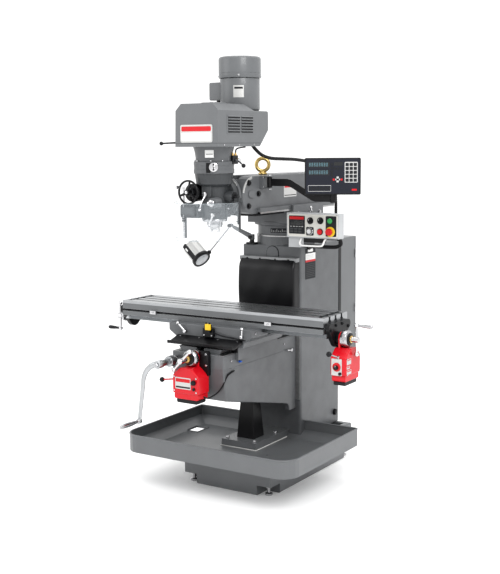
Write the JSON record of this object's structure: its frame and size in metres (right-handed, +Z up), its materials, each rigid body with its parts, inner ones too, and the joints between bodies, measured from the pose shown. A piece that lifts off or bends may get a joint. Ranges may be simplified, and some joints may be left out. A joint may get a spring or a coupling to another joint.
{
  "type": "vertical knee milling machine",
  "caption": "Grey vertical knee mill with T-slot table, red power feeds, tilting head, swivelling turret and ram, digital readout and chip tray.",
  "frame": {"origin": "on the floor in the machine's middle plane, below the column's front face", "axes": "+X to the operator's right along the table, +Y away from the operator, +Z up along the knee's travel"},
  "size_m": [1.68, 1.746, 2.312],
  "materials": {
    "black_metal": "semi-matt black",
    "black_plastic": "fine-grained black",
    "cast_aluminium": "polished cast",
    "cast_iron": "painted and scraped iron casting",
    "chrome": "bright plated",
    "clear_guard": "clear curved sheet",
    "dark_paint": "satin dark grey enamel",
    "feed_red": "gloss red enamel",
    "gold_zinc": "yellow zinc plated",
    "green_plastic": "smooth green",
    "machine_paint": "satin grey machine enamel",
    "red_plastic": "smooth red",
    "rubber": "soft black, slightly dusty",
    "steel": "ground steel with light oil"
  },
  "bodies": {
    "stand": {"base": "dark_paint", "chip_tray": "machine_paint", "column": "cast_iron", "screw_pedestal": "dark_paint", "way_cover": "rubber", "cabinet": "machine_paint", "control_box": "machine_paint", "lamp_base": "black_metal"},
    "door": {"cabinet_door": "machine_paint"},
    "start_key": {"start_button": "green_plastic"},
    "stop_key": {"stop_button": "red_plastic"},
    "estop_key": {"estop_button": "red_plastic"},
    "drive_knob": {"drive_selector": "black_plastic"},
    "light_knob": {"light_selector": "black_plastic"},
    "pot_knob": {"speed_pot": "chrome"},
    "lamp_lower": {"lamp_arm": "machine_paint"},
    "lamp_upper": {"lamp_rod": "steel"},
    "lamp_shade": {"lamp_head": "cast_aluminium"},
    "knee_body": {"knee": "cast_iron", "y_feed": "feed_red"},
    "elevating_screw": {"knee_screw": "steel"},
    "knee_handle": {"knee_crank": "cast_aluminium"},
    "y_handle": {"y_crank": "chrome"},
    "y_feed_handle": {"y_feed_lever": "black_plastic"},
    "knee_clamp": {"knee_lock": "chrome"},
    "saddle_body": {"saddle": "cast_iron", "apron": "black_metal", "limit_switch": "black_metal"},
    "saddle_clamp": {"saddle_lock": "chrome"},
    "table_clamp": {"table_lock": "chrome"},
    "table_body": {"table": "steel", "bearing_left": "black_metal", "bearing_right": "black_metal", "x_feed": "feed_red"},
    "x_handles": {"table_screw": "steel", "crank_left": "chrome", "crank_right": "chrome"},
    "x_feed_handle": {"x_feed_lever": "black_plastic"},
    "x_feed_dial": {"x_feed_knob": "black_plastic"},
    "turret_body": {"turret": "cast_iron", "conduit_rear": "rubber"},
    "ram_body": {"ram": "cast_iron", "eye_bolt": "gold_zinc"},
    "readout_arm": {"dro_arm": "black_metal"},
    "readout": {"dro_display": "black_plastic"},
    "knuckle_body": {"knuckle": "cast_iron", "conduit_front": "rubber"},
    "head": {"head_casting": "cast_iron", "gear_case": "cast_iron", "belt_housing": "machine_paint", "motor": "machine_paint", "motor_cowl": "machine_paint"},
    "quill_body": {"quill": "steel"},
    "spindle_body": {"spindle": "chrome"},
    "feed_wheel": {"feed_handwheel": "black_metal"},
    "quill_clamp": {"quill_lock": "chrome"},
    "speed_handle": {"speed_lever": "black_plastic"},
    "brake_handle": {"brake_lever": "black_plastic"},
    "range_knob": {"range_dial": "chrome"},
    "guard": {"chip_guard": "clear_guard"}
  },
  "joints": [
    {"name": "cabinet_door_hinge", "type": "hinge", "parent": "stand", "child": "door", "pos_m": [0.19, 0.676, 0.86], "axis": [0, 0, 1], "range_deg": [-110, 0]},
    {"name": "start_press", "type": "slide", "parent": "stand", "child": "start_key", "axis": [0, 1, 0], "range_m": [0, 0.004], "stiffness_N_per_m": 400},
    {"name": "stop_press", "type": "slide", "parent": "stand", "child": "stop_key", "axis": [0, 1, 0], "range_m": [0, 0.004], "stiffness_N_per_m": 400},
    {"name": "estop_press", "type": "slide", "parent": "stand", "child": "estop_key", "axis": [0, 1, 0], "range_m": [0, 0.006], "stiffness_N_per_m": 900},
    {"name": "drive_select", "type": "hinge", "parent": "stand", "child": "drive_knob", "pos_m": [0.31, -0.1003, 1.445], "axis": [0, 1, 0], "range_deg": [-45, 45]},
    {"name": "light_select", "type": "hinge", "parent": "stand", "child": "light_knob", "pos_m": [0.372, -0.1003, 1.447], "axis": [0, 1, 0], "range_deg": [-45, 45]},
    {"name": "speed_pot_turn", "type": "hinge", "parent": "stand", "child": "pot_knob", "pos_m": [0.3075, -0.1003, 1.388], "axis": [0, 1, 0], "range_deg": [-135, 135]},
    {"name": "lamp_swivel", "type": "hinge", "parent": "stand", "child": "lamp_lower", "pos_m": [-0.14, 0.02, 1.33], "axis": [0, 0, 1], "range_deg": [-45, 25]},
    {"name": "lamp_elbow", "type": "hinge", "parent": "lamp_lower", "child": "lamp_upper", "pos_m": [-0.272, 0, 1.393], "axis": [0, 1, 0], "range_deg": [-8, 70]},
    {"name": "lamp_tilt", "type": "hinge", "parent": "lamp_upper", "child": "lamp_shade", "pos_m": [-0.419, -0.01, 1.231], "axis": [0.6093, 0.4993, 0.616], "range_deg": [-45, 60]},
    {"name": "knee_slide", "type": "slide", "parent": "stand", "child": "knee_body", "axis": [0, 0, 1], "range_m": [0, 0.35814], "deforming": ["way_cover"]},
    {"name": "knee_screw_turn", "type": "hinge", "parent": "knee_body", "child": "elevating_screw", "pos_m": [0, -0.232, 0.4], "axis": [0, 0, 1], "range_deg": [0, 25380]},
    {"name": "knee_crank_turn", "type": "hinge", "parent": "knee_body", "child": "knee_handle", "pos_m": [-0.115, -0.9, 0.757], "axis": [0, 1, 0], "range_deg": [0, 50760]},
    {"name": "y_crank_turn", "type": "hinge", "parent": "knee_body", "child": "y_handle", "pos_m": [0, -0.87, 0.78], "axis": [0, 1, 0], "range_deg": [-9720, 11520]},
    {"name": "y_feed_engage", "type": "hinge", "parent": "knee_body", "child": "y_feed_handle", "pos_m": [-0.0905, -0.8, 0.665], "axis": [1, 0, 0], "range_deg": [-20, 20]},
    {"name": "knee_clamp_turn", "type": "hinge", "parent": "knee_body", "child": "knee_clamp", "pos_m": [0.166, -0.06, 0.716], "axis": [1, 0, 0], "range_deg": [-30, 30]},
    {"name": "saddle_slide", "type": "slide", "parent": "knee_body", "child": "saddle_body", "axis": [0, 1, 0], "range_m": [-0.13716, 0.16256]},
    {"name": "saddle_clamp_turn", "type": "hinge", "parent": "saddle_body", "child": "saddle_clamp", "pos_m": [-0.15, -0.6305, 0.882], "axis": [0, 1, 0], "range_deg": [-35, 30]},
    {"name": "table_clamp_turn", "type": "hinge", "parent": "saddle_body", "child": "table_clamp", "pos_m": [0.205, -0.6305, 0.882], "axis": [0, 1, 0], "range_deg": [-30, 35]},
    {"name": "table_slide", "type": "slide", "parent": "saddle_body", "child": "table_body", "axis": [1, 0, 0], "range_m": [-0.36576, 0.36576]},
    {"name": "x_crank_turn", "type": "hinge", "parent": "table_body", "child": "x_handles", "pos_m": [0, -0.44, 0.89], "axis": [1, 0, 0], "range_deg": [-25920, 25920]},
    {"name": "x_feed_engage", "type": "hinge", "parent": "table_body", "child": "x_feed_handle", "pos_m": [0.7, -0.529, 0.812], "axis": [0, 1, 0], "range_deg": [-20, 20]},
    {"name": "x_feed_speed", "type": "hinge", "parent": "table_body", "child": "x_feed_dial", "pos_m": [0.692, -0.5203, 0.757], "axis": [0, 1, 0], "range_deg": [-135, 135]},
    {"name": "turret_swivel", "type": "hinge", "parent": "stand", "child": "turret_body", "pos_m": [0, 0.165, 1.4], "axis": [0, 0, 1], "range_deg": [-90, 90], "deforming": ["conduit_rear"]},
    {"name": "ram_slide", "type": "slide", "parent": "turret_body", "child": "ram_body", "axis": [0, 1, 0], "range_m": [-0.18, 0.12], "deforming": ["conduit_front", "conduit_rear"]},
    {"name": "dro_arm_swing", "type": "hinge", "parent": "ram_body", "child": "readout_arm", "pos_m": [0.158, -0.27, 1.655], "axis": [0, 0, 1], "range_deg": [-20, 60]},
    {"name": "dro_swivel", "type": "hinge", "parent": "readout_arm", "child": "readout", "pos_m": [0.535, -0.27, 1.68], "axis": [0, 0, 1], "range_deg": [-14, 60]},
    {"name": "head_nod", "type": "hinge", "parent": "ram_body", "child": "knuckle_body", "pos_m": [0, -0.37, 1.59], "axis": [1, 0, 0], "range_deg": [-30, 45], "deforming": ["conduit_front"]},
    {"name": "head_tilt", "type": "hinge", "parent": "knuckle_body", "child": "head", "pos_m": [0, -0.4905, 1.59], "axis": [0, 1, 0], "range_deg": [-90, 45], "deforming": ["conduit_front"]},
    {"name": "quill_slide", "type": "slide", "parent": "head", "child": "quill_body", "axis": [0, 0, 1], "range_m": [-0.127, 0]},
    {"name": "spindle_turn", "type": "hinge", "parent": "quill_body", "child": "spindle_body", "pos_m": [0, -0.56, 1.405], "axis": [0, 0, 1], "continuous": true},
    {"name": "feed_wheel_turn", "type": "hinge", "parent": "head", "child": "feed_wheel", "pos_m": [-0.092, -0.662, 1.614], "axis": [0, 1, 0], "range_deg": [-18000, 0]},
    {"name": "quill_clamp_turn", "type": "hinge", "parent": "head", "child": "quill_clamp", "pos_m": [0.05, -0.6505, 1.5], "axis": [0, 1, 0], "range_deg": [-30, 30]},
    {"name": "speed_shift", "type": "hinge", "parent": "head", "child": "speed_handle", "pos_m": [-0.1365, -0.69, 1.866], "axis": [1, 0, 0], "range_deg": [-20, 20]},
    {"name": "brake_turn", "type": "hinge", "parent": "head", "child": "brake_handle", "pos_m": [0.12, -0.52, 1.775], "axis": [1, 0, 0], "range_deg": [-30, 30]},
    {"name": "range_turn", "type": "hinge", "parent": "head", "child": "range_knob", "pos_m": [0.05697, -0.64772, 1.742], "axis": [0.5446, -0.8387, 0], "range_deg": [-45, 45]},
    {"name": "guard_swing", "type": "hinge", "parent": "head", "child": "guard", "pos_m": [0.147, -0.548, 1.46], "axis": [0, 0, 1], "range_deg": [0, 90]}
  ],
  "couplings": [
    {"joint": "x_crank_turn", "follows": "table_slide", "rad_per_m": 1236.8},
    {"joint": "y_crank_turn", "follows": "saddle_slide", "rad_per_m": 1236.8},
    {"joint": "knee_slide", "follows": "knee_crank_turn", "m_per_rad": 0.00040425},
    {"joint": "knee_screw_turn", "follows": "knee_crank_turn", "ratio": 0.5},
    {"joint": "quill_slide", "follows": "feed_wheel_turn", "m_per_rad": 0.00040425}
  ]
}
